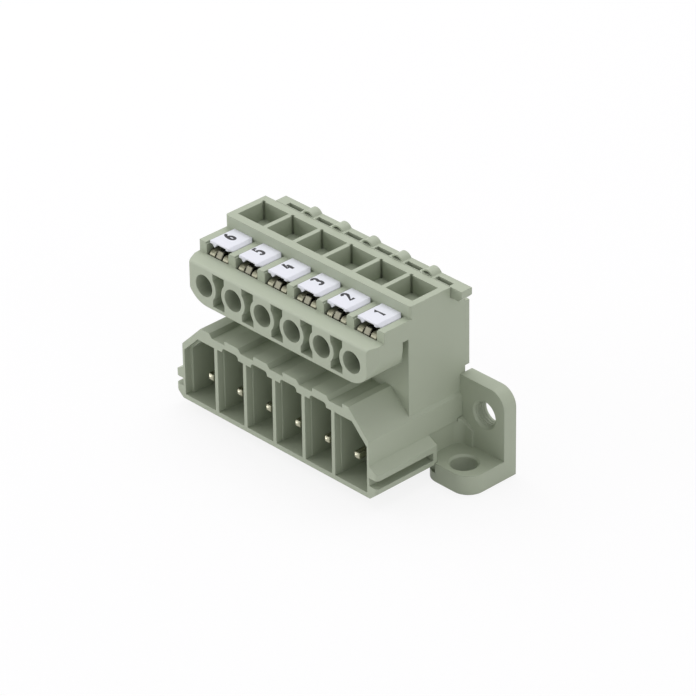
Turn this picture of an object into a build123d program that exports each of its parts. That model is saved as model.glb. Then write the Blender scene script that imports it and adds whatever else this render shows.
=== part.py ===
import os
from math import acos, atan2, degrees, hypot

from build123d import *

# Six-pole pluggable terminal block with spring clamps and screw flanges, in millimetres.
# +X runs along the row towards pole 1, -Y is the side where wires and the mating plug enter, +Z is up.
# The origin is the middle of the bounding box seen from above, on the plane the flanges stand on.

# Row of poles
pole_count = 6
pitch = 5.08
end_margin = 0.61
depth = 17.45

# Heights of the housing, from the bottom up
foot_height = 1.25
header_height = 11.1
overhang_gap = 3.0
entry_height = 5.3
deck_step = 1.68
shaft_step = 1.72

# Depths of the housing, from the front back
entry_setback = 0.73
deck_setback = 2.32
deck_depth = 4.25
shaft_wall = 1.2
shaft_depth_y = 4.25
shaft_back_wall = 1.15
body_overlap = 0.35
flange_behind_body = 1.15

# Square operating shafts
shaft_wall_between = 0.66
shaft_depth = 2.4
shaft_floor = 0.3
corner_slit = 0.4
driver_slot_length = 3.0
driver_slot_width = 1.0

# Wire entry block
wire_hole_radius = 1.45
wire_ring_radius = 2.05
wire_hole_drop = 2.6
core_length = 2.0
core_height = 4.5
core_depth = 1.8
entry_lower_radius = 3.6
entry_corner_length = 0.6
entry_corner_depth = 1.45
entry_top_radius = 0.4
entry_top_rise = 0.2
shaft_corner_radius = 0.35
end_notch_length = 1.05
end_notch_width = 0.95
end_notch_drop = 0.8

# Header, the open-fronted half that takes the mating plug
header_overhang = 0.35
header_chamfer = 3.4
chamber_depth = 8.2
chamber_floor = 0.65
chamber_roof = 1.7
chamber_divider = 0.75
chamber_end_wall = 0.75
chamber_corner = 2.45
lead_in_depth = 1.0
lead_in_step = 0.1
end_lead_in_step = 0.4
arch_half_width = 1.4
arch_rise = 0.6
arch_radius = 0.45
plateau_left = 0.93
plateau_right = 1.45
riser_run = 0.46
valley_depth = 0.55

# Guide rails on both ends of the header
rail_reach = 1.35
rail_rise = 1.6
rail_slope = 0.8
slot_height = 1.1
lower_rail_height = 1.7
rail_bevel_height = 1.05
rail_bevel_reach = 1.25
rail_length = 9.9
rail_end_web = 0.65
rail_nose_radius = 0.5

# Rear cover
cover_strip_thickness = 1.45
cover_strip_setback = 0.66
cover_strip_shift = 1.78
cover_strip_hook = 0.55
cover_plate_thickness = 0.95
cover_inset = 0.85
cover_foot = 2.9
cover_back_thickness = 0.7
cover_back_top_drop = 2.85
cover_back_height = 8.75
test_slot_offset = 1.545
test_slot_length = 2.53
test_slot_width = 0.71
test_slot_setback = 0.13
test_slot_depth = 5.0
bump_offset = -1.0
bump_half_width = 0.93
bump_height = 0.55
bump_wall = 0.22
bump_hollow = 1.1
bump_setback = 0.2

# Mounting flanges
flange_length = 7.35
flange_plate_thickness = 2.02
flange_plate_height = 11.59
flange_base_thickness = 2.55
flange_base_depth = 8.0
flange_radius = 2.3
flange_hole_radius = 1.65
flange_hole_from_end = 3.3
flange_hole_from_front = 2.58
flange_hole_height = 7.65
flange_countersink = 0.25
flange_recess = 0.8
flange_recess_top = 4.4
flange_wall_inset = 0.2
stop_length = 2.0
stop_width = 0.35
stop_height = 3.45
stop_slope = 1.25
stop_cove_radius = 1.2
key_depth = 1.0
key_length = 2.6
key_height = 0.7

# Markers on the deck in front of the shafts
marker_length = 3.9
marker_gap = 0.12
marker_thickness = 0.6
marker_sink = 0.23
marker_setback = 0.25
marker_slope = 0.4
marker_corner = 0.4
marker_lip = 0.5
marker_notch_left = -0.4
marker_notch_right = 1.2
marker_notch_height = 0.2
hook_setback = 0.15
hook_width = 1.0
hook_tip = -1.0
hook_drop = 0.5

# Contact bars: tinned copper strip, from the clamp at the top to the plug pin at the bottom
bar_thickness = 1.0
bar_width = 1.2
bar_bend = 0.7
nose_length = 1.1
nose_width = 1.0
nose_foot = 0.2
nose_rise = 1.0
nose_slope = 0.5
bar_step_y = -0.8
pin_height = 5.05
pin_setback = 1.2
pin_side = 0.85
pin_tip_chamfer = 0.25

# Cage clamp springs: steel strip, a fixed leg and loop and a moving leg with a window
strip = 0.3
cage_width = 3.2
window_width = 1.4
window_bar = 0.6
window_rear_y = 1.1
loop_radius = 1.6
loop_y = 2.775
loop_end_angle = 70
loop_gap_angle = 3
cage_bend = 0.55
cage_setback = 0.1
cage_top_drop = 1.3
cage_width_room = 0.3
cage_swing_room = 0.32
cage_drop_room = 0.25

# Clearances
fit = 0.05
bar_room = 0.1

# Lines and levels that follow from the sizes above
half_length = pole_count * pitch / 2 + end_margin
header_half = half_length + header_overhang
pole_x = [(pole_count + 1 - 2 * pole) * pitch / 2 for pole in range(1, pole_count + 1)]

header_top = foot_height + header_height
entry_bottom = header_top + overhang_gap
entry_top = entry_bottom + entry_height
deck_top = entry_top + deck_step
top = deck_top + shaft_step

front_y = -depth / 2
back_y = depth / 2
entry_front_y = front_y + entry_setback
deck_front_y = entry_front_y + deck_setback
shaft_block_y = deck_front_y + deck_depth
body_front_y = shaft_block_y - body_overlap
shaft_front_y = shaft_block_y + shaft_wall
shaft_back_y = shaft_front_y + shaft_depth_y
shaft_block_back_y = shaft_back_y + shaft_back_wall
body_back_y = back_y - flange_behind_body
cover_y = body_back_y - cover_plate_thickness
cover_strip_y = shaft_block_back_y + fit
cover_strip_back_y = body_back_y - cover_strip_setback
chamber_back_y = front_y + chamber_depth
rail_end_y = front_y + rail_length
flange_front_y = back_y - flange_base_depth
flange_plate_y = back_y - flange_plate_thickness

deck_foot = entry_top + entry_top_rise
wire_z = entry_top - wire_hole_drop
bar_under = wire_z + wire_hole_radius + bar_room
bar_top = bar_under + bar_thickness
loop_z = bar_top - loop_radius
cavity_half = cage_width / 2 + cage_width_room
cavity_roof = top - shaft_depth - shaft_floor
cavity_floor = loop_z - loop_radius - strip / 2 - bar_thickness
cavity_front_floor = cavity_floor - cage_drop_room
cavity_front_y = deck_front_y - cage_swing_room
riser_y = cover_y - fit - bar_thickness / 2
tongue_tip_y = deck_front_y + bar_room
cage_y = deck_front_y + cage_setback + strip / 2
cage_top = deck_top - cage_top_drop + strip / 2
cover_strip_under = top - cover_strip_thickness
marker_floor = deck_top - marker_sink


def block(x0, x1, y0, y1, z0, z1):
    """Box between the given limits."""
    return Pos((x0 + x1) / 2, (y0 + y1) / 2, (z0 + z1) / 2) * Box(x1 - x0, y1 - y0, z1 - z0)


def front_profile(outline, y0, y1):
    """Solid with an outline of (X, Z) points, reaching from y0 back to y1."""
    face = make_face(Polyline([(x, y0, z) for x, z in outline], close=True))
    return extrude(face, amount=y1 - y0, dir=(0, 1, 0))


def side_profile(outline, x0, x1):
    """Solid with an outline of (Y, Z) points, reaching from x0 to x1."""
    face = make_face(Polyline([(x0, y, z) for y, z in outline], close=True))
    return extrude(face, amount=x1 - x0, dir=(1, 0, 0))


def bent_strip(middle_line, thickness, width):
    """Strip that follows a middle line drawn in (Y, Z), centred on X = 0."""
    return extrude(Plane.YZ * trace(middle_line, thickness), width / 2, both=True)


def both_ends(part):
    """A part and its mirror image at the other end of the row."""
    return part + mirror(part, Plane.YZ)


# Housing: shafts, deck and wire entries

def upper_body():
    """The block with the shafts, the deck in front of it and the tall body below."""
    body = block(-half_length, half_length, body_front_y, body_back_y, foot_height, top)
    shaft_block = block(-half_length, half_length, shaft_block_y, shaft_block_back_y, deck_top, top)
    body = body - block(-half_length, half_length, body_front_y, shaft_block_y, deck_top, top)
    front_corners = shaft_block.edges().filter_by(Axis.Z).group_by(Axis.Y)[0]
    shaft_block = fillet(front_corners, shaft_corner_radius)
    body = body - block(-half_length, half_length, shaft_block_y, shaft_block_back_y, deck_top, top)
    deck = block(-half_length, half_length, deck_front_y, shaft_block_back_y,
                 entry_top - entry_top_radius, deck_top)
    return body + deck + shaft_block


def entry_block():
    """Overhanging block with the wire entries: top sloped, lower ends rounded, front corners cut off."""
    outline = [(entry_front_y, entry_bottom), (body_front_y + fit, entry_bottom),
               (body_front_y + fit, deck_foot), (deck_front_y, deck_foot), (entry_front_y, entry_top)]
    overhang = side_profile(outline, -half_length, half_length)
    lower = overhang.edges().filter_by(Axis.Y).group_by(Axis.Z)[0]
    overhang = fillet(lower, entry_lower_radius)
    upper_front = overhang.faces().sort_by(Axis.Y)[0].edges().sort_by(Axis.Z)[-1]
    overhang = fillet(upper_front, entry_top_radius)
    corner = make_face(Polyline((half_length - entry_corner_length, entry_front_y, entry_bottom),
                                (half_length, entry_front_y, entry_bottom),
                                (half_length, entry_front_y + entry_corner_depth, entry_bottom), close=True))
    notch = block(half_length - end_notch_length, half_length, body_front_y - end_notch_width,
                  body_front_y, entry_bottom, entry_top - end_notch_drop)
    return overhang - both_ends(extrude(corner, amount=deck_foot - entry_bottom, dir=(0, 0, 1)) + notch)


def wire_hole(x):
    """Round wire entry of one pole."""
    length = cavity_front_y - entry_front_y + bar_room
    return Pos(x, entry_front_y + length / 2, wire_z) * Rot(90, 0, 0) * Cylinder(wire_hole_radius, length)


def core_out(x):
    """Hourglass-shaped hollow between two wire entries."""
    outline = Rectangle(core_length, core_height)
    for side in (-1, 1):
        outline -= Pos(side * pitch / 2, 0) * Circle(wire_ring_radius)
    hollow = extrude(outline, core_depth / 2, both=True)
    return Pos(x, entry_front_y + core_depth / 2, wire_z) * Rot(90, 0, 0) * hollow


def shaft(x):
    """Square shaft of one pole, with the driver slot in its floor and the slit in its corner."""
    half = (pitch - shaft_wall_between) / 2
    floor_z = top - shaft_depth
    well = block(x - half, x + half, shaft_front_y, shaft_back_y, floor_z, top)
    slot = Pos(x, window_rear_y + driver_slot_width, floor_z) * Box(
        driver_slot_length, driver_slot_width, 3 * shaft_floor)
    slit = Pos(x - half, shaft_back_y, (top + cavity_roof) / 2) * Box(
        corner_slit, corner_slit, top - cavity_roof + 2 * fit)
    return well + slot + slit


def clamp_cavity(x):
    """Room for one clamp, open under the marker, at the wire entry and at the back."""
    outline = [(cavity_front_y, cavity_front_floor), (bar_step_y - bar_thickness, cavity_front_floor),
               (bar_step_y - bar_thickness, cavity_floor), (body_back_y, cavity_floor),
               (body_back_y, cavity_roof), (body_front_y, cavity_roof), (body_front_y, marker_floor),
               (deck_front_y - fit, marker_floor), (deck_front_y - fit, deck_foot),
               (cavity_front_y, deck_foot - cage_swing_room)]
    room = side_profile(outline, x - cavity_half, x + cavity_half)
    half_riser = bar_width / 2 + bar_room
    riser = block(x - half_riser, x + half_riser, riser_y - bar_thickness / 2 - bar_room, body_back_y,
                  pin_height - pin_side / 2 - fit, cavity_floor)
    half_pin = pin_side / 2 + fit
    tunnel = block(x - half_pin, x + half_pin, chamber_back_y, riser_y,
                   pin_height - half_pin, pin_height + half_pin)
    return room + riser + tunnel


def marker_recess(x):
    """Shallow seat for one marker between two ribs of the deck."""
    half = marker_length / 2 + marker_gap
    return block(x - half, x + half, entry_front_y, shaft_block_y, marker_floor, deck_top)


def test_pocket(x):
    """Pocket below one test slot of the cover."""
    middle = x + test_slot_offset
    slot_y = cover_strip_y + test_slot_setback
    return block(middle - test_slot_length / 2, middle + test_slot_length / 2, slot_y,
                 slot_y + test_slot_width, top - test_slot_depth, cover_strip_under)


# Housing: header and rails

def header_shell():
    """Outside of the header, with its grooved roof and chamfered upper corners."""
    shoulder = header_half - header_chamfer
    outline = [(-header_half, foot_height), (header_half, foot_height),
               (header_half, header_top - header_chamfer), (shoulder, header_top),
               (-shoulder, header_top), (-header_half, header_top - header_chamfer)]
    shell = front_profile(outline, front_y, flange_plate_y)
    for x in pole_x[1:]:
        shell -= roof_groove(x)
    return shell


def roof_groove(x):
    """Valley of the roof between the pole at x and its neighbour towards +X."""
    floor_z = header_top - valley_depth
    outline = [(x + plateau_right, header_top), (x + plateau_right + riser_run, floor_z),
               (x + pitch - plateau_left, floor_z), (x + pitch - plateau_left, header_top)]
    return front_profile(outline, front_y, body_front_y)


def chamber_limits(x, inset):
    """X limits of the chamber at x: a divider towards a neighbour, the end wall elsewhere."""
    half = (pitch - chamber_divider) / 2 + inset
    low, high = x - half, x + half
    end_inset = inset * end_lead_in_step / lead_in_step
    if x == pole_x[0]:
        high = header_half - chamber_end_wall + end_inset
    if x == pole_x[-1]:
        low = chamber_end_wall - header_half - end_inset
    return low, high


def chamber(x, inset, length):
    """One plug chamber, this much wider than its narrow part, this far back from the front."""
    low, high = chamber_limits(x, inset)
    floor_z = foot_height + chamber_floor
    roof_z = header_top - chamber_roof
    hollow = block(low, high, front_y, front_y + length, floor_z, roof_z)
    if x in (pole_x[0], pole_x[-1]):
        side = 1 if x > 0 else -1
        edge = high if x > 0 else low
        corner = [(edge, roof_z), (edge - side * chamber_corner, roof_z), (edge, roof_z - chamber_corner)]
        return hollow - front_profile(corner, front_y, front_y + length)
    arch = block(x - arch_half_width, x + arch_half_width, front_y, front_y + length,
                 floor_z, roof_z + arch_rise)
    return hollow + fillet(arch.edges().filter_by(Axis.Y).group_by(Axis.Z)[-1], arch_radius)


def rail():
    """Guide rail at the +X end: an upper and a lower rib with a slot between them."""
    x0, x1 = header_half, header_half + rail_reach
    top_z = foot_height + lower_rail_height + slot_height + rail_rise
    root = x0 - chamber_end_wall
    outline = [(root, foot_height), (x1 - rail_bevel_reach, foot_height),
               (x1, foot_height + rail_bevel_height), (x1, top_z - rail_slope), (x0, top_z), (root, top_z)]
    bar = front_profile(outline, front_y, rail_end_y)
    nose = bar.edges().filter_by(Axis.Z).group_by(Axis.Y)[0].group_by(Axis.X)[-1]
    bar = fillet(nose, rail_nose_radius)
    slot_z = foot_height + lower_rail_height
    return bar - block(x0, x1, front_y, rail_end_y - rail_end_web, slot_z, slot_z + slot_height)


def flange_seat():
    """Recess at the +X end in which the flange's base and key sit."""
    x0 = header_half - flange_recess
    recess = block(x0, header_half, rail_end_y, body_back_y, foot_height, foot_height + flange_recess_top)
    return recess + flange_key(fit)


def flange_key(room):
    """Key that locks a flange in the housing, or its keyway with room added."""
    x1 = header_half - flange_recess
    middle_y = (flange_front_y + flange_plate_y) / 2
    middle_z = (foot_height + flange_base_thickness) / 2
    return block(x1 - key_depth - room, x1, middle_y - key_length / 2 - room,
                 middle_y + key_length / 2 + room, middle_z - key_height / 2 - room,
                 middle_z + key_height / 2 + room)


def cover_seat():
    """Room for the rear cover behind the shafts and between the end walls."""
    half = half_length - cover_inset
    above = block(-half_length, half_length, shaft_block_back_y, body_back_y, cover_strip_under, top)
    behind = block(-half, half, cover_y, body_back_y, cover_foot - fit, cover_strip_under)
    return above + behind


def housing():
    body = upper_body() + entry_block() + header_shell() + both_ends(rail())
    body -= both_ends(flange_seat())
    body -= cover_seat()
    for x in pole_x:
        body -= clamp_cavity(x) + wire_hole(x)
        body -= shaft(x)
        body -= marker_recess(x)
        body -= test_pocket(x)
        body -= chamber(x, 0, chamber_depth)
        body -= chamber(x, lead_in_step, lead_in_depth)
    for x in pole_x[1:]:
        body -= core_out(x + pitch / 2)
    return body


# Separate pieces

def half_round(x, y0, y1, half_width, height):
    """Low arched ridge on the level of the top, from y0 back to y1."""
    left, right = (x - half_width, y0, top), (x + half_width, y0, top)
    outline = ThreePointArc(left, (x, y0, top + height), right) + Line(right, left)
    return extrude(make_face(outline), amount=y1 - y0, dir=(0, 1, 0))


def cover_strip():
    """Top strip, shifted along the row: hooked at +X, short of the housing by as much at -X."""
    left, right = cover_strip_shift - half_length, cover_strip_shift + half_length
    outline = [(left, cover_strip_under), (right - cover_strip_hook, cover_strip_under),
               (right, cover_strip_under + cover_strip_hook), (right, top), (left, top)]
    return front_profile(outline, cover_strip_y, cover_strip_back_y)


def rear_cover():
    """Cover with its top strip, test slots and bumps, open towards the shafts."""
    half = half_length - cover_inset - fit
    cover = cover_strip() + block(-half, half, cover_y, body_back_y, cover_foot, cover_strip_under)
    back_top = top - cover_back_top_drop
    cover += block(-half_length, half_length, body_back_y, body_back_y + cover_back_thickness,
                   back_top - cover_back_height, back_top)
    slot_y = cover_strip_y + test_slot_setback
    for x in pole_x:
        middle = x + test_slot_offset
        cover -= block(middle - test_slot_length / 2, middle + test_slot_length / 2, slot_y,
                       slot_y + test_slot_width, cover_strip_under, top)
    bump_y = cover_strip_y + bump_setback
    for x in pole_x[:-1]:
        middle = x + bump_offset
        cover += half_round(middle, bump_y, cover_strip_back_y, bump_half_width, bump_height)
        cover -= half_round(middle, bump_y, bump_y + bump_hollow, bump_half_width - bump_wall,
                            bump_height - bump_wall)
    return cover


def flange_wall():
    """Side wall in the housing's recess, curving into the sloped stop in front of the plate."""
    x0, x1 = header_half - flange_recess, header_half + stop_length
    wall_x, wall_y = header_half - flange_wall_inset, rail_end_y + fit
    stop_y = flange_plate_y - stop_width
    foot_z, wall_z = flange_base_thickness, foot_height + flange_recess_top - fit
    stop_z = foot_z + stop_height
    plan = make_face(Polyline((x0, wall_y, foot_z), (wall_x, wall_y, foot_z), (wall_x, stop_y, foot_z),
                              (x1, stop_y, foot_z), (x1, flange_plate_y, foot_z),
                              (x0, flange_plate_y, foot_z), close=True))
    inner_corner = plan.vertices().sort_by_distance((wall_x, stop_y, foot_z))[0]
    plan = fillet(inner_corner, stop_cove_radius)
    elevation = [(x0, foot_z), (x1, foot_z), (x1, stop_z - stop_slope), (header_half + fit, stop_z),
                 (header_half + fit, wall_z), (x0, wall_z)]
    return extrude(plan, amount=stop_height, dir=(0, 0, 1)) & front_profile(elevation, wall_y, flange_plate_y)


def flange():
    """Mounting flange of the +X end: base with a vertical hole, plate with a level one."""
    x0 = header_half - flange_recess
    x1 = half_length + flange_length
    base = block(x0, x1, flange_front_y, back_y, 0, flange_base_thickness)
    front_corners = base.edges().filter_by(Axis.Z).group_by(Axis.Y)[0]
    base = fillet(front_corners, flange_radius)
    base -= block(x0, half_length, body_back_y, back_y, 0, flange_base_thickness)
    base -= block(x0, header_half + rail_reach + fit, front_y, rail_end_y + fit,
                  foot_height - fit, flange_base_thickness)
    plate = block(half_length, x1, flange_plate_y, back_y, 0, flange_plate_height)
    top_corner = plate.edges().filter_by(Axis.Y).group_by(Axis.Z)[-1].sort_by(Axis.X)[-1]
    plate = fillet(top_corner, flange_radius)
    hole_x = x1 - flange_hole_from_end
    hole_y = flange_front_y + flange_hole_from_front
    piece = base + plate + flange_wall() + flange_key(0)
    piece -= Pos(hole_x, hole_y, flange_base_thickness / 2) * Cylinder(
        flange_hole_radius, flange_base_thickness)
    piece -= Pos(hole_x, hole_y, flange_base_thickness - flange_countersink / 2) * Cone(
        flange_hole_radius, flange_hole_radius + flange_countersink, flange_countersink)
    plate_middle = (flange_plate_y + back_y) / 2
    piece -= Pos(hole_x, plate_middle, flange_hole_height) * Rot(90, 0, 0) * Cylinder(
        flange_hole_radius, flange_plate_thickness)
    piece -= Pos(hole_x, flange_plate_y + flange_countersink / 2, flange_hole_height) * Rot(90, 0, 0) * Cone(
        flange_hole_radius, flange_hole_radius + flange_countersink, flange_countersink)
    return piece


def marker(x):
    """Snap-in marker: a plate with sloped flanks, a thin notched front lip and a hook below it."""
    y0 = deck_front_y + marker_setback
    half = marker_length / 2
    upper = marker_floor + marker_thickness
    flanks = [(-half, marker_floor), (half, marker_floor), (half, deck_top), (half - marker_slope, upper),
              (marker_slope - half, upper), (-half, deck_top)]
    plan = block(-half, half, y0, shaft_block_y, marker_floor, upper)
    plate = front_profile(flanks, y0, shaft_block_y) & chamfer(plan.edges().filter_by(Axis.Z), marker_corner)
    plate -= block(-half, half, y0, y0 + marker_lip, marker_floor, deck_top)
    plate -= block(marker_notch_left, marker_notch_right, y0, y0 + marker_lip,
                   deck_top, deck_top + marker_notch_height)
    hook = [(marker_notch_left, deck_top), (hook_tip, deck_top - hook_drop),
            (marker_notch_left - hook_width, deck_top)]
    return Pos(x, 0, 0) * (plate + front_profile(hook, y0 + hook_setback, y0 + marker_lip))


def contact_bar(x):
    """One bent bar: clamp tongue with its sloped nose, step, riser behind the cover and plug pin."""
    tongue_z = bar_under + bar_thickness / 2
    run_z = cavity_floor + bar_thickness / 2
    half = pin_side / 2
    line = FilletPolyline((tongue_tip_y, tongue_z), (bar_step_y, tongue_z), (bar_step_y, run_z),
                          (riser_y, run_z), (riser_y, pin_height - half), radius=bar_bend)
    bar = bent_strip(line, bar_thickness, bar_width)
    nose_top = bar_top + nose_rise
    nose = [(tongue_tip_y, tongue_z), (tongue_tip_y + nose_length, tongue_z),
            (tongue_tip_y + nose_length, nose_top), (tongue_tip_y + nose_slope, nose_top),
            (tongue_tip_y, bar_top + nose_foot)]
    bar += side_profile(nose, -nose_width / 2, nose_width / 2)
    pin = block(-half, half, front_y + pin_setback, riser_y, pin_height - half, pin_height + half)
    pin = chamfer(pin.faces().sort_by(Axis.Y)[0].edges(), pin_tip_chamfer)
    return Pos(x, 0, 0) * (bar + pin)


def spring_seat(x):
    """Fixed leg and loop of one clamp spring, lying on the contact bar."""
    leg_z = bar_top + strip / 2
    back_of_step = bar_step_y + bar_thickness / 2 + strip / 2
    low_z = loop_z - loop_radius
    leg = FilletPolyline((tongue_tip_y + nose_length, leg_z), (back_of_step, leg_z), (back_of_step, low_z),
                         (loop_y - loop_radius, low_z), radius=bar_bend)
    floor = Line((loop_y - loop_radius, low_z), (loop_y, low_z))
    loop = CenterArc((loop_y, loop_z), loop_radius, -90, 90 + loop_end_angle)
    seat = bent_strip(leg, strip, bar_width) + bent_strip(floor + loop, strip, cage_width)
    return Pos(x, 0, 0) * seat


def clamp_cage(x):
    """Moving leg of one clamp spring, bent down at the front, with the wire window through it."""
    reach_y, reach_z = cage_y - loop_y, cage_top - loop_z
    tangent_angle = degrees(atan2(reach_z, reach_y) - acos(loop_radius / hypot(reach_y, reach_z)))
    start_angle = loop_end_angle + loop_gap_angle
    tail = CenterArc((loop_y, loop_z), loop_radius, start_angle, tangent_angle - start_angle)
    bottom = bar_under - fit - window_bar
    arm = FilletPolyline(tail @ 1, (cage_y, cage_top), (cage_y, bottom), radius=cage_bend)
    cage = bent_strip(tail + arm, strip, cage_width)
    window = block(-window_width / 2, window_width / 2, cavity_front_y, window_rear_y,
                   bottom + window_bar, deck_top)
    return Pos(x, 0, 0) * (cage - window)


os.makedirs("parts", exist_ok=True)
pieces = {"housing": housing(), "rear_cover": rear_cover(), "mounting_flange_right": flange()}
pieces["mounting_flange_left"] = mirror(pieces["mounting_flange_right"], Plane.YZ)
for number, x in enumerate(pole_x, start=1):
    pieces[f"marker_{number}"] = marker(x)
    pieces[f"contact_bar_{number}"] = contact_bar(x)
    pieces[f"spring_seat_{number}"] = spring_seat(x)
    pieces[f"clamp_cage_{number}"] = clamp_cage(x)
for name, piece in pieces.items():
    export_step(piece, f"parts/{name}.step")
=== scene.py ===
from math import cos, pi, radians, sin

import bmesh
import bpy
from mathutils import Matrix, Vector


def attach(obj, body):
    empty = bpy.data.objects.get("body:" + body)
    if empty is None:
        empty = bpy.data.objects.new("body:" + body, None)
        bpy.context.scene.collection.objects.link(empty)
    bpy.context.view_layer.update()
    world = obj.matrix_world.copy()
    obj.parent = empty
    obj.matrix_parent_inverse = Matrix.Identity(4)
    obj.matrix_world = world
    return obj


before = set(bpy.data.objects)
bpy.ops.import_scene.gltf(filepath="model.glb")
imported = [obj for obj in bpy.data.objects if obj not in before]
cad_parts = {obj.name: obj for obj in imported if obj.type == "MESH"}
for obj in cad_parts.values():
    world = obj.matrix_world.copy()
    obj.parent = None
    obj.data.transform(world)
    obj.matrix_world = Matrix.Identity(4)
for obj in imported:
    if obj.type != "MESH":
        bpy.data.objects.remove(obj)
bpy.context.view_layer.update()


# Housing. One injection moulding in grey-green polyamide, which carries everything else.
# Its mould was spark-eroded, so the faces have a fine satin grain, and every outer edge has
# the small radius that such a mould leaves.

MM = 0.001
edge_samples = 6


def input_value(node, name, value):
    """Sets one named input of a shader node."""
    node.inputs[name].default_value = value


def name_sockets(tree, inputs, outputs):
    """Gives a node tree its named inputs, with their first values, and its named outputs."""
    for name, kind, value in inputs:
        socket = tree.interface.new_socket(name, in_out="INPUT", socket_type=kind)
        if value is not None:
            socket.default_value = value
    for name, kind in outputs:
        tree.interface.new_socket(name, in_out="OUTPUT", socket_type=kind)


def calculate(tree, operation, *terms):
    """Output of a new Math node whose terms are numbers or outputs of other nodes."""
    node = tree.nodes.new("ShaderNodeMath")
    node.operation = operation
    for place, term in enumerate(terms):
        if isinstance(term, float):
            node.inputs[place].default_value = term
        else:
            tree.links.new(term, node.inputs[place])
    return node.outputs[0]


def scaled_colour(tree, colour, factor):
    """Output with a colour made lighter or darker by a factor."""
    shade = tree.nodes.new("ShaderNodeVectorMath")
    shade.operation = "SCALE"
    tree.links.new(colour, shade.inputs[0])
    tree.links.new(factor, shade.inputs["Scale"])
    return shade.outputs[0]


def soft_edge(tree, radius):
    """Normal that rounds off the edges of a piece with a radius."""
    rounding = tree.nodes.new("ShaderNodeBevel")
    rounding.samples = edge_samples
    tree.links.new(radius, rounding.inputs["Radius"])
    return rounding.outputs["Normal"]


def moulded_grain_group():
    """Flow shading and spark-eroded grain of a moulded face."""
    group = bpy.data.node_groups.new("moulded_grain", "ShaderNodeTree")
    name_sockets(group,
                 (("Plastic Colour", "NodeSocketColor", (0.4, 0.4, 0.4, 1)),
                  ("Flow Contrast", "NodeSocketFloat", 0.05),
                  ("Flow Scale", "NodeSocketFloat", 110.0),
                  ("Grain Scale", "NodeSocketFloat", 6000.0),
                  ("Gloss Base", "NodeSocketFloat", 0.45),
                  ("Gloss Spread", "NodeSocketFloat", 0.12),
                  ("Edge Radius", "NodeSocketFloat", 0.1 * MM)),
                 (("Colour", "NodeSocketColor"), ("Roughness", "NodeSocketFloat"),
                  ("Grain Height", "NodeSocketFloat"), ("Edge Normal", "NodeSocketVector")))
    nodes, links = group.nodes, group.links
    given = nodes.new("NodeGroupInput")
    out = nodes.new("NodeGroupOutput")
    place = nodes.new("ShaderNodeTexCoord")

    flow = nodes.new("ShaderNodeTexNoise")
    input_value(flow, "Detail", 3.0)
    input_value(flow, "Distortion", 0.6)
    links.new(place.outputs["Object"], flow.inputs["Vector"])
    links.new(given.outputs["Flow Scale"], flow.inputs["Scale"])
    average, full = 0.5, 1.0
    swing = calculate(group, "SUBTRACT", flow.outputs["Fac"], average)
    brightness = calculate(group, "MULTIPLY_ADD", swing, given.outputs["Flow Contrast"], full)
    links.new(scaled_colour(group, given.outputs["Plastic Colour"], brightness), out.inputs["Colour"])

    grain = nodes.new("ShaderNodeTexNoise")
    input_value(grain, "Detail", 4.0)
    input_value(grain, "Roughness", 0.6)
    links.new(place.outputs["Object"], grain.inputs["Vector"])
    links.new(given.outputs["Grain Scale"], grain.inputs["Scale"])
    links.new(grain.outputs["Fac"], out.inputs["Grain Height"])

    gloss = calculate(group, "MULTIPLY_ADD", flow.outputs["Fac"], given.outputs["Gloss Spread"],
                      given.outputs["Gloss Base"])
    links.new(gloss, out.inputs["Roughness"])
    links.new(soft_edge(group, given.outputs["Edge Radius"]), out.inputs["Edge Normal"])
    return group


moulded_grain = moulded_grain_group()


def blank_material(name):
    """New material, with its node tree and its shader."""
    material = bpy.data.materials.new(name)
    material.use_nodes = True
    return material, material.node_tree, material.node_tree.nodes["Principled BSDF"]


def moulded_plastic(name, colour, gloss, grain_depth, edge_radius):
    """Moulded plastic of one colour, with the shared flow shading, grain and soft edges."""
    material, tree, shader = blank_material(name)
    links = tree.links
    input_value(shader, "Specular IOR Level", 0.45)
    skin = tree.nodes.new("ShaderNodeGroup")
    skin.node_tree = moulded_grain
    input_value(skin, "Plastic Colour", (*colour, 1))
    input_value(skin, "Gloss Base", gloss)
    input_value(skin, "Edge Radius", edge_radius)
    links.new(skin.outputs["Colour"], shader.inputs["Base Color"])
    links.new(skin.outputs["Roughness"], shader.inputs["Roughness"])
    bump = tree.nodes.new("ShaderNodeBump")
    input_value(bump, "Strength", 0.35)
    input_value(bump, "Distance", grain_depth)
    links.new(skin.outputs["Grain Height"], bump.inputs["Height"])
    links.new(skin.outputs["Edge Normal"], bump.inputs["Normal"])
    links.new(bump.outputs["Normal"], shader.inputs["Normal"])
    return material


def dress(piece, material):
    """Gives a piece one material."""
    piece.data.materials.clear()
    piece.data.materials.append(material)


housing_plastic = moulded_plastic("housing_plastic", colour=(0.35, 0.395, 0.295), gloss=0.42,
                                  grain_depth=0.006 * MM, edge_radius=0.1 * MM)
dress(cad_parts["housing"], housing_plastic)


# Rear cover. A second moulding of the same plastic, from a mould of its own, so its shade
# differs by a hair. It is clipped into the back of the housing and closes the clamp cavities.

cover_plastic = moulded_plastic("cover_plastic", colour=(0.355, 0.4, 0.3), gloss=0.42,
                                grain_depth=0.006 * MM, edge_radius=0.1 * MM)
dress(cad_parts["rear_cover"], cover_plastic)


# Mounting flanges. Two mirrored mouldings of the same plastic, with fuller edge radii. They
# are pushed onto the ends of the housing and locked there by a key below its end face.

flange_plastic = moulded_plastic("flange_plastic", colour=(0.35, 0.395, 0.294), gloss=0.42,
                                 grain_depth=0.006 * MM, edge_radius=0.15 * MM)
for side in ("right", "left"):
    dress(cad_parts[f"mounting_flange_{side}"], flange_plastic)


# Turning lines in the level holes of the flanges. The core pins of the mould were turned on a
# lathe, and their fine rings came off on the wall of each hole.

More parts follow.
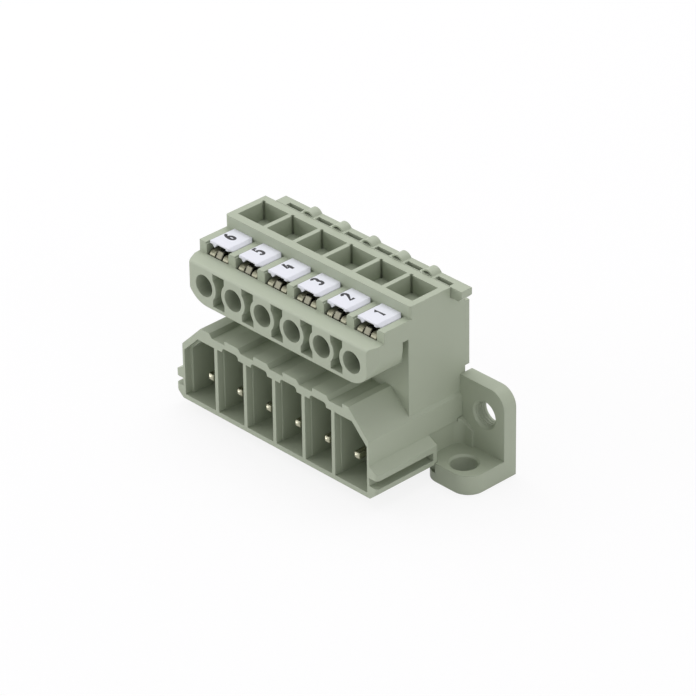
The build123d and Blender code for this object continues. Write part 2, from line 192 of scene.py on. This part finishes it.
def ring_lines_tree():
    """Rings set at even steps along a hole, standing slightly out of its wall."""
    tree = bpy.data.node_groups.new("ring_lines", "GeometryNodeTree")
    name_sockets(tree,
                 (("Hole Radius", "NodeSocketFloat", 1.65 * MM),
                  ("Line Height", "NodeSocketFloat", 0.09 * MM),
                  ("First Line", "NodeSocketVector", (0, 0, 0)),
                  ("Line Step", "NodeSocketVector", (0, 0.4 * MM, 0)),
                  ("Lines", "NodeSocketInt", 4),
                  ("Ring Sides", "NodeSocketInt", 40),
                  ("Line Sides", "NodeSocketInt", 4),
                  ("Plastic", "NodeSocketMaterial", None)),
                 (("Rings", "NodeSocketGeometry"),))
    nodes, links = tree.nodes, tree.links
    given = nodes.new("NodeGroupInput")
    out = nodes.new("NodeGroupOutput")
    steps = nodes.new("GeometryNodeMeshLine")
    steps.mode = "OFFSET"
    links.new(given.outputs["Lines"], steps.inputs["Count"])
    links.new(given.outputs["First Line"], steps.inputs["Start Location"])
    links.new(given.outputs["Line Step"], steps.inputs["Offset"])
    ring = nodes.new("GeometryNodeCurvePrimitiveCircle")
    links.new(given.outputs["Ring Sides"], ring.inputs["Resolution"])
    links.new(given.outputs["Hole Radius"], ring.inputs["Radius"])
    line = nodes.new("GeometryNodeCurvePrimitiveCircle")
    links.new(given.outputs["Line Sides"], line.inputs["Resolution"])
    links.new(given.outputs["Line Height"], line.inputs["Radius"])
    swept = nodes.new("GeometryNodeCurveToMesh")
    links.new(ring.outputs["Curve"], swept.inputs["Curve"])
    links.new(line.outputs["Curve"], swept.inputs["Profile Curve"])
    repeated = nodes.new("GeometryNodeInstanceOnPoints")
    input_value(repeated, "Rotation", (pi / 2, 0, 0))
    links.new(steps.outputs["Mesh"], repeated.inputs["Points"])
    links.new(swept.outputs["Mesh"], repeated.inputs["Instance"])
    real = nodes.new("GeometryNodeRealizeInstances")
    links.new(repeated.outputs["Instances"], real.inputs["Geometry"])
    finish = nodes.new("GeometryNodeSetMaterial")
    links.new(real.outputs["Geometry"], finish.inputs["Geometry"])
    links.new(given.outputs["Plastic"], finish.inputs["Material"])
    links.new(finish.outputs["Geometry"], out.inputs["Rings"])
    return tree


ring_lines = ring_lines_tree()
first_line = Vector((19.9, 7.15, 7.65)) * MM
scene = bpy.context.scene


def plain_mesh(thing):
    """Mesh of an object as its modifiers or its bevel leave it. The object itself is removed."""
    mesh = bpy.data.meshes.new_from_object(
        thing.evaluated_get(bpy.context.evaluated_depsgraph_get()))
    bpy.data.objects.remove(thing)
    return mesh


def outward(mesh):
    """Points the faces of a closed mesh outwards."""
    shape = bmesh.new()
    shape.from_mesh(mesh)
    bmesh.ops.recalc_face_normals(shape, faces=shape.faces)
    shape.to_mesh(mesh)
    shape.free()


def add_object(name, data):
    """New object in the scene with a mesh, a curve, a lamp or a camera."""
    thing = bpy.data.objects.new(name, data)
    scene.collection.objects.link(thing)
    return thing


for side, sign in (("right", 1), ("left", -1)):
    maker = add_object(f"hole_rings_{side}", bpy.data.meshes.new(f"hole_rings_{side}"))
    repeat = maker.modifiers.new("ring_lines", "NODES")
    repeat.node_group = ring_lines
    sockets = {item.name: item.identifier for item in ring_lines.interface.items_tree}
    repeat[sockets["First Line"]] = (sign * first_line.x, first_line.y, first_line.z)
    repeat[sockets["Plastic"]] = flange_plastic
    rings_mesh = plain_mesh(maker)
    outward(rings_mesh)
    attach(add_object(f"hole_rings_{side}", rings_mesh), "terminal_block")


# Markers. White snap-in plates, moulded in a smoother mould than the grey parts. Each is
# pressed into its shallow seat on the deck, in front of its shaft.

poles = range(1, 7)
marker_plastic = moulded_plastic("marker_plastic", colour=(0.68, 0.7, 0.74), gloss=0.3,
                                 grain_depth=0.002 * MM, edge_radius=0.15 * MM)
for pole in poles:
    dress(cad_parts[f"marker_{pole}"], marker_plastic)


# Printed digits. A pen plotter draws one generic digit on each marker in dark ink, with a stroke
# as wide as its nib. They read from the +X end of the block.

ink = moulded_plastic("marker_ink", colour=(0.015, 0.015, 0.018), gloss=0.5,
                      grain_depth=0.001 * MM, edge_radius=0.02 * MM)
nib_width = 0.4 * MM
ink_film = 0.02 * MM
digit_width = 0.62 * MM
digit_height = 1.63 * MM
digit_offset = Vector((-0.45, 0.2)) * MM
one_shift = 0.3 * MM


def bow(centre, across, rise, first, last):
    """Points of an elliptic pen stroke between two angles in degrees."""
    steps = 14
    turns = [radians(first + (last - first) * step / steps) for step in range(steps + 1)]
    return [(centre[0] + across * cos(turn), centre[1] + rise * sin(turn)) for turn in turns]


# Each stroke's points, as shares of the digit's width and height.
pen_strokes = {
    1: [[(0.2, 0.76), (0.62, 1), (0.62, 0)]],
    2: [bow((0.5, 0.74), 0.5, 0.26, 165, -25) + [(0, 0), (1, 0)]],
    3: [bow((0.42, 0.77), 0.5, 0.23, 150, -90), bow((0.42, 0.27), 0.58, 0.27, 90, -150)],
    4: [[(0.35, 1), (-0.05, 0.36), (1.08, 0.36)], [(0.72, 0.68), (0.72, 0)]],
    5: [[(0.92, 1), (0.18, 1)] + bow((0.45, 0.32), 0.55, 0.32, 125, -150)],
    6: [bow((0.5, 0.3), 0.48, 0.3, 160, -200), bow((0.86, 0.36), 0.84, 0.64, 95, 183)],
}
for pole, strokes in pen_strokes.items():
    pen = bpy.data.curves.new(f"digit_{pole}", "CURVE")
    pen.dimensions = "3D"
    pen.bevel_depth = nib_width / 2
    pen.bevel_resolution = 2
    pen.use_fill_caps = True
    for stroke in strokes:
        line = pen.splines.new("POLY")
        line.points.add(len(stroke) - 1)
        for point, (across, rise) in zip(line.points, stroke):
            point.co = ((across - 0.5) * digit_width, (rise - 0.5) * digit_height, 0, 1)
    digit_mesh = plain_mesh(add_object(f"digit_{pole}", pen))
    digit_mesh.transform(Matrix.Scale(2 * ink_film / nib_width, 4, Vector((0, 0, 1))))
    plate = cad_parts[f"marker_{pole}"]
    corners = [plate.matrix_world @ Vector(corner) for corner in plate.bound_box]
    middle = sum(corners, Vector()) / len(corners)
    place = Vector((middle.x + digit_offset.x + (one_shift if pole == 1 else 0),
                    middle.y + digit_offset.y, max(corner.z for corner in corners)))
    digit_mesh.transform(Matrix.Translation(place) @ Matrix.Rotation(pi / 2, 4, "Z"))
    outward(digit_mesh)
    digit = add_object(f"digit_{pole}", digit_mesh)
    dress(digit, ink)
    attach(digit, "terminal_block")


# Contact bars. Stamped copper strip, bent to shape and bright tin plated, from the clamp to the
# plug pin. Each is laid in from behind. The clamp end, above a set height, is painted darker
# as painted shade and painted reflection of the dark cavity around it.

def strip_finish_group():
    """Drawing streaks, painted shade on the clamp end and soft stamped edges of metal strip."""
    group = bpy.data.node_groups.new("strip_finish", "ShaderNodeTree")
    name_sockets(group,
                 (("Metal Colour", "NodeSocketColor", (0.5, 0.5, 0.5, 1)),
                  ("Painted Shade", "NodeSocketFloat", 1.0),
                  ("Shade Above", "NodeSocketFloat", 12 * MM),
                  ("Shade Blend", "NodeSocketFloat", 2 * MM),
                  ("Streak Depth", "NodeSocketFloat", 0.2),
                  ("Polish", "NodeSocketFloat", 0.2),
                  ("Polish Spread", "NodeSocketFloat", 0.15),
                  ("Edge Radius", "NodeSocketFloat", 0.1 * MM)),
                 (("Colour", "NodeSocketColor"), ("Roughness", "NodeSocketFloat"),
                  ("Edge Normal", "NodeSocketVector")))
    nodes, links = group.nodes, group.links
    given = nodes.new("NodeGroupInput")
    out = nodes.new("NodeGroupOutput")
    place = nodes.new("ShaderNodeTexCoord")

    streaks_per_metre = (6000, 900, 900)
    stretch = nodes.new("ShaderNodeMapping")
    input_value(stretch, "Scale", streaks_per_metre)
    links.new(place.outputs["Object"], stretch.inputs["Vector"])
    streaks = nodes.new("ShaderNodeTexNoise")
    input_value(streaks, "Scale", 1.0)
    input_value(streaks, "Detail", 3.0)
    links.new(stretch.outputs["Vector"], streaks.inputs["Vector"])
    darker = calculate(group, "MULTIPLY", streaks.outputs["Fac"], given.outputs["Streak Depth"])
    kept = calculate(group, "SUBTRACT", 1.0, darker)

    axes = nodes.new("ShaderNodeSeparateXYZ")
    links.new(place.outputs["Object"], axes.inputs["Vector"])
    # Painted shade: above the set height the colour is scaled down by the shade factor, for the clamp
    # end deep in its cavity.
    shade_mask = nodes.new("ShaderNodeMapRange")
    shade_mask.interpolation_type = "SMOOTHSTEP"
    links.new(axes.outputs["Z"], shade_mask.inputs["Value"])
    links.new(given.outputs["Shade Above"], shade_mask.inputs["From Min"])
    links.new(calculate(group, "ADD", given.outputs["Shade Above"], given.outputs["Shade Blend"]),
              shade_mask.inputs["From Max"])
    input_value(shade_mask, "To Min", 1.0)
    links.new(given.outputs["Painted Shade"], shade_mask.inputs["To Max"])
    brightness = calculate(group, "MULTIPLY", kept, shade_mask.outputs["Result"])
    links.new(scaled_colour(group, given.outputs["Metal Colour"], brightness), out.inputs["Colour"])

    gloss = calculate(group, "MULTIPLY_ADD", streaks.outputs["Fac"], given.outputs["Polish Spread"],
                      given.outputs["Polish"])
    links.new(gloss, out.inputs["Roughness"])
    links.new(soft_edge(group, given.outputs["Edge Radius"]), out.inputs["Edge Normal"])
    return group


strip_finish = strip_finish_group()


def strip_metal(name, colour, shine, painted_shade, polish, edge_radius):
    """Metal of one colour with the shared strip finish, painted darker above a set height as painted
    shade.
    """
    material, tree, shader = blank_material(name)
    links = tree.links
    input_value(shader, "Metallic", shine)
    skin = tree.nodes.new("ShaderNodeGroup")
    skin.node_tree = strip_finish
    input_value(skin, "Metal Colour", (*colour, 1))
    input_value(skin, "Painted Shade", painted_shade)
    input_value(skin, "Polish", polish)
    input_value(skin, "Edge Radius", edge_radius)
    links.new(skin.outputs["Colour"], shader.inputs["Base Color"])
    links.new(skin.outputs["Roughness"], shader.inputs["Roughness"])
    links.new(skin.outputs["Edge Normal"], shader.inputs["Normal"])
    return material


# The clamp end of each bar gets painted shade, darkened to a fifth of the tin colour.
tin_plate = strip_metal("tin_plate", colour=(0.48, 0.475, 0.36), shine=1.0, painted_shade=0.2,
                        polish=0.2, edge_radius=0.25 * MM)
for pole in poles:
    dress(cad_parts[f"contact_bar_{pole}"], tin_plate)


# Clamp springs. Hardened spring-steel strip with a dull surface, bent to a loop with a fixed leg on
# the contact bar and a moving leg, whose window draws the wire against the bar. The olive tint of
# its colour is a painted reflection of the grey-green housing around it.

# The olive tint here is a painted reflection of the housing, not the steel's own colour.
spring_steel = strip_metal("spring_steel", colour=(0.3, 0.3, 0.2), shine=0.3, painted_shade=1.0,
                           polish=0.3, edge_radius=0.15 * MM)
for pole in poles:
    dress(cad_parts[f"spring_seat_{pole}"], spring_steel)
    dress(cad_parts[f"clamp_cage_{pole}"], spring_steel)


# Stage. A white painted floor that ends in a white background, four large soft lamps under a
# pale dome, and the camera with the photograph's long lens.

floor_half = 3.0
floor_mesh = bpy.data.meshes.new("floor")
floor_mesh.from_pydata([(-floor_half, -floor_half, 0), (floor_half, -floor_half, 0),
                        (floor_half, floor_half, 0), (-floor_half, floor_half, 0)],
                       [], [(0, 1, 2, 3)])
floor = add_object("floor", floor_mesh)
floor_paint, paint, matte = blank_material("floor_paint")
input_value(matte, "Base Color", (0.8, 0.8, 0.8, 1))
input_value(matte, "Roughness", 0.9)
glow_share = 0.85


def background_rays(tree):
    """Output that is 1 for the rays that meet the background straight, mirrored or through glass."""
    rays = tree.nodes.new("ShaderNodeLightPath")
    glossy_too = calculate(tree, "MAXIMUM", rays.outputs["Is Camera Ray"],
                           rays.outputs["Is Glossy Ray"])
    return calculate(tree, "MAXIMUM", glossy_too, rays.outputs["Is Transmission Ray"])


def mix_shaders(tree, factor, first, second, surface):
    """Lays a mix of two shaders on the surface of a material or of the world."""
    mix = tree.nodes.new("ShaderNodeMixShader")
    tree.links.new(factor, mix.inputs["Fac"])
    tree.links.new(first.outputs[0], mix.inputs[1])
    tree.links.new(second.outputs[0], mix.inputs[2])
    tree.links.new(mix.outputs[0], tree.nodes[surface].inputs["Surface"])


glow = paint.nodes.new("ShaderNodeEmission")
mix_shaders(paint, calculate(paint, "MULTIPLY", background_rays(paint), glow_share), matte, glow,
            "Material Output")
dress(floor, floor_paint)

scene.world = bpy.data.worlds.new("studio")
scene.world.use_nodes = True
sky = scene.world.node_tree
dome = sky.nodes["Background"]
input_value(dome, "Color", (0.985, 0.96, 1.0, 1))
input_value(dome, "Strength", 0.54)
white = sky.nodes.new("ShaderNodeBackground")
input_value(white, "Color", (1, 1, 1, 1))
input_value(white, "Strength", 1.0)
mix_shaders(sky, background_rays(sky), dome, white, "World Output")

lamp_size = 0.45
lamp_distance = 0.75
lamp_colour = (0.99, 0.97, 1.0)
lamp_aim = Vector((0, 0, 12)) * MM


def soft_lamp(name, bearing, height, power):
    """Square lamp at a bearing and height, in degrees from the front, aimed at the block."""
    lamp = bpy.data.lights.new(name, "AREA")
    lamp.size = lamp_size
    lamp.energy = power
    lamp.color = lamp_colour
    across, rise = radians(bearing), radians(height)
    holder = add_object(name, lamp)
    holder.location = lamp_distance * Vector(
        (sin(across) * cos(rise), -cos(across) * cos(rise), sin(rise)))
    holder.rotation_euler = (lamp_aim - holder.location).to_track_quat("-Z", "Y").to_euler()


soft_lamp("back_lamp", bearing=200, height=72, power=2.35)
soft_lamp("left_lamp", bearing=270, height=50, power=1.35)
soft_lamp("front_left_lamp", bearing=315, height=15, power=2.35)
soft_lamp("right_lamp", bearing=90, height=20, power=1.0)

view_bearing, view_height, view_roll = radians(46.51), radians(30.54), -0.01465
view_distance = 0.5525
view_target = Vector((3.965, -0.225, 13.121)) * MM
back = Vector((sin(view_bearing) * cos(view_height), -cos(view_bearing) * cos(view_height),
               sin(view_height)))
right = Vector((cos(view_bearing), sin(view_bearing), 0))
up = back.cross(right)
rolled_right = cos(view_roll) * right + sin(view_roll) * up
rolled_up = cos(view_roll) * up - sin(view_roll) * right
lens = bpy.data.cameras.new("camera")
lens.sensor_width = 36.0
lens.lens = 240.33
lens.clip_start = 0.01
camera = add_object("camera", lens)
turn = Matrix((rolled_right, rolled_up, back)).transposed().to_4x4()
camera.matrix_world = Matrix.Translation(view_target + view_distance * back) @ turn
scene.camera = camera
scene.view_settings.view_transform = "Standard"
